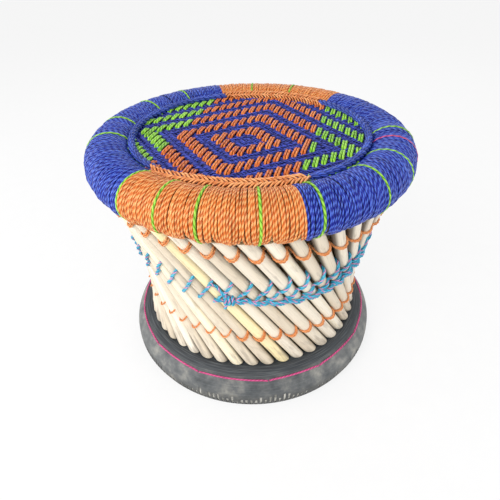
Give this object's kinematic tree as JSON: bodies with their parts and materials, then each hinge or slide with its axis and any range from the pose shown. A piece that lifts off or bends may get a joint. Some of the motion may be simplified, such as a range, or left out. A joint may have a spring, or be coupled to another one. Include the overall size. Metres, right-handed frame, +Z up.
{
  "type": "mudda stool",
  "caption": "Round waisted stool of crossing reed sticks on a split tyre foot, with a twine-wrapped rim and a woven seat.",
  "frame": {"origin": "on the floor, under the middle of the seat", "axes": "+Z up, -Y towards the front that the picture shows, +X to the right seen from the front"},
  "size_m": [0.4712, 0.4716, 0.373],
  "materials": {
    "outer_reed": "peeled reed, matt, with fine lengthwise grain",
    "inner_reed": "peeled reed in shade, matt",
    "tyre_rubber": "worn black rubber with grey dust",
    "pink_cord": "smooth plastic cord",
    "hoop_cane": "red-brown split cane",
    "orange_twine": "two-ply plastic twine, slightly glossy",
    "blue_twine": "two-ply plastic twine, slightly glossy",
    "blue_rope": "laid plastic rope, sky blue with a pink strand",
    "straw_core": "bundled dry straw",
    "seat_twine": "plastic twine woven in blue, orange and lime",
    "braid_twine": "plaited plastic twine"
  },
  "bodies": {
    "root": {"tyre": "tyre_rubber", "tyre_stitching": "pink_cord", "base_hoop": "hoop_cane", "outer_stick_01": "outer_reed", "outer_stick_02": "outer_reed", "outer_stick_03": "outer_reed", "outer_stick_04": "outer_reed", "outer_stick_05": "outer_reed", "outer_stick_06": "outer_reed", "outer_stick_07": "outer_reed", "outer_stick_08": "outer_reed", "outer_stick_09": "outer_reed", "outer_stick_10": "outer_reed", "outer_stick_11": "outer_reed", "outer_stick_12": "outer_reed", "outer_stick_13": "outer_reed", "outer_stick_14": "outer_reed", "outer_stick_15": "outer_reed", "outer_stick_16": "outer_reed", "outer_stick_17": "outer_reed", "outer_stick_18": "outer_reed", "outer_stick_19": "outer_reed", "outer_stick_20": "outer_reed", "outer_stick_21": "outer_reed", "outer_stick_22": "outer_reed", "outer_stick_23": "outer_reed", "outer_stick_24": "outer_reed", "outer_stick_25": "outer_reed", "outer_stick_26": "outer_reed", "outer_stick_27": "outer_reed", "outer_stick_28": "outer_reed", "outer_stick_29": "outer_reed", "outer_stick_30": "outer_reed", "outer_stick_31": "outer_reed", "outer_stick_32": "outer_reed", "outer_stick_33": "outer_reed", "outer_stick_34": "outer_reed", "outer_stick_35": "outer_reed", "outer_stick_36": "outer_reed", "outer_stick_37": "outer_reed", "outer_stick_38": "outer_reed", "outer_stick_39": "outer_reed", "outer_stick_40": "outer_reed", "outer_stick_41": "outer_reed", "outer_stick_42": "outer_reed", "outer_stick_43": "outer_reed", "outer_stick_44": "outer_reed", "outer_stick_45": "outer_reed", "outer_stick_46": "outer_reed", "inner_sticks": "inner_reed", "lower_lashing": "orange_twine", "waist_lashing": "blue_rope", "upper_lashing": "orange_twine", "rim_core": "straw_core", "rim_wrap_front": "orange_twine", "rim_wrap_right": "blue_twine", "rim_wrap_back": "orange_twine", "rim_wrap_left": "blue_twine", "seat_weave": "seat_twine", "seat_braid": "braid_twine"}
  },
  "joints": []
}
